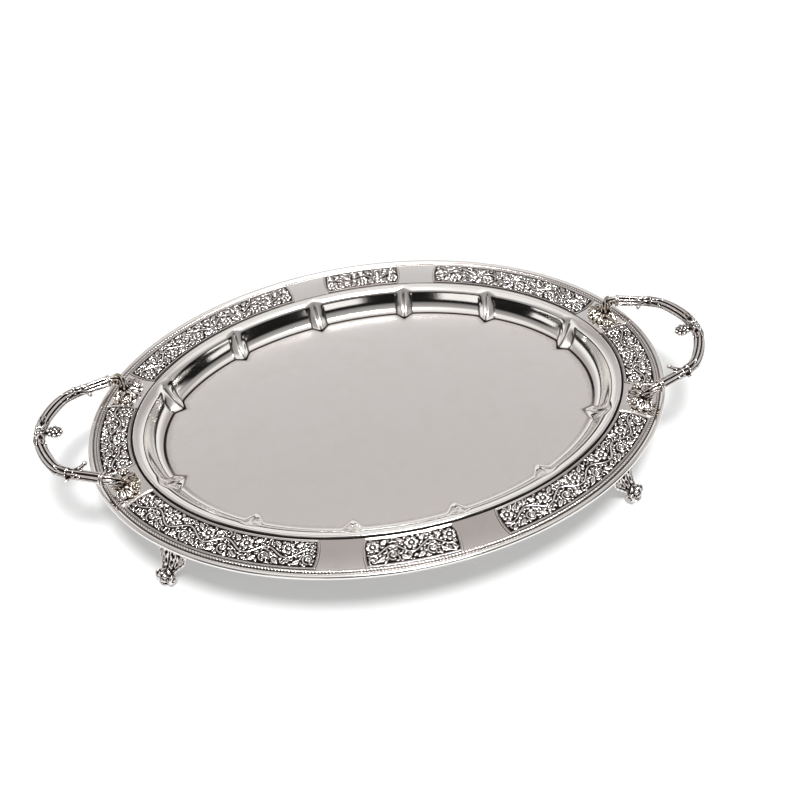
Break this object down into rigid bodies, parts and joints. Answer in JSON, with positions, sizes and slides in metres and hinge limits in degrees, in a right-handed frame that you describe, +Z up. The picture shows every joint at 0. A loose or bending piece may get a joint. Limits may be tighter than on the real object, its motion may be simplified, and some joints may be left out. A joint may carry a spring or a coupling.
{
  "type": "serving tray",
  "caption": "Oval silver-plated serving tray with a fluted well, a chased flat rim, two cast handles and four cast scroll feet.",
  "frame": {"origin": "on the surface that the feet stand on, under the middle of the oval tray", "axes": "+X along the tray's length to the right handle, +Y along its width to the back, +Z up"},
  "size_m": [0.4702, 0.3048, 0.0613],
  "materials": {
    "silver_sheet": "polished silver plate on pressed sheet, satin on the serving floor, blackened in the chased recesses",
    "silver_casting": "polished silver plate on castings, blackened in the recesses",
    "tarnished_casting": "silver plate on castings with a warm yellow tarnish and blackened recesses",
    "steel_wire": "drawn steel wire inside the rolled edge",
    "plain_steel": "plated steel fasteners"
  },
  "bodies": {
    "root": {"tray_body": "silver_sheet", "edge_wire": "steel_wire", "edge_moulding": "silver_casting", "left_handle": "silver_casting", "right_handle": "silver_casting", "left_rosette": "silver_casting", "right_rosette": "silver_casting", "left_front_leaf_mount": "tarnished_casting", "left_back_leaf_mount": "tarnished_casting", "right_front_leaf_mount": "tarnished_casting", "right_back_leaf_mount": "tarnished_casting", "left_front_collar": "silver_casting", "left_back_collar": "silver_casting", "right_front_collar": "silver_casting", "right_back_collar": "silver_casting", "left_front_foot": "silver_casting", "left_back_foot": "silver_casting", "right_front_foot": "silver_casting", "right_back_foot": "silver_casting", "handle_studs": "plain_steel", "handle_washers": "plain_steel", "handle_nuts": "plain_steel", "foot_studs": "plain_steel", "foot_washers": "plain_steel", "foot_nuts": "plain_steel"}
  },
  "joints": []
}
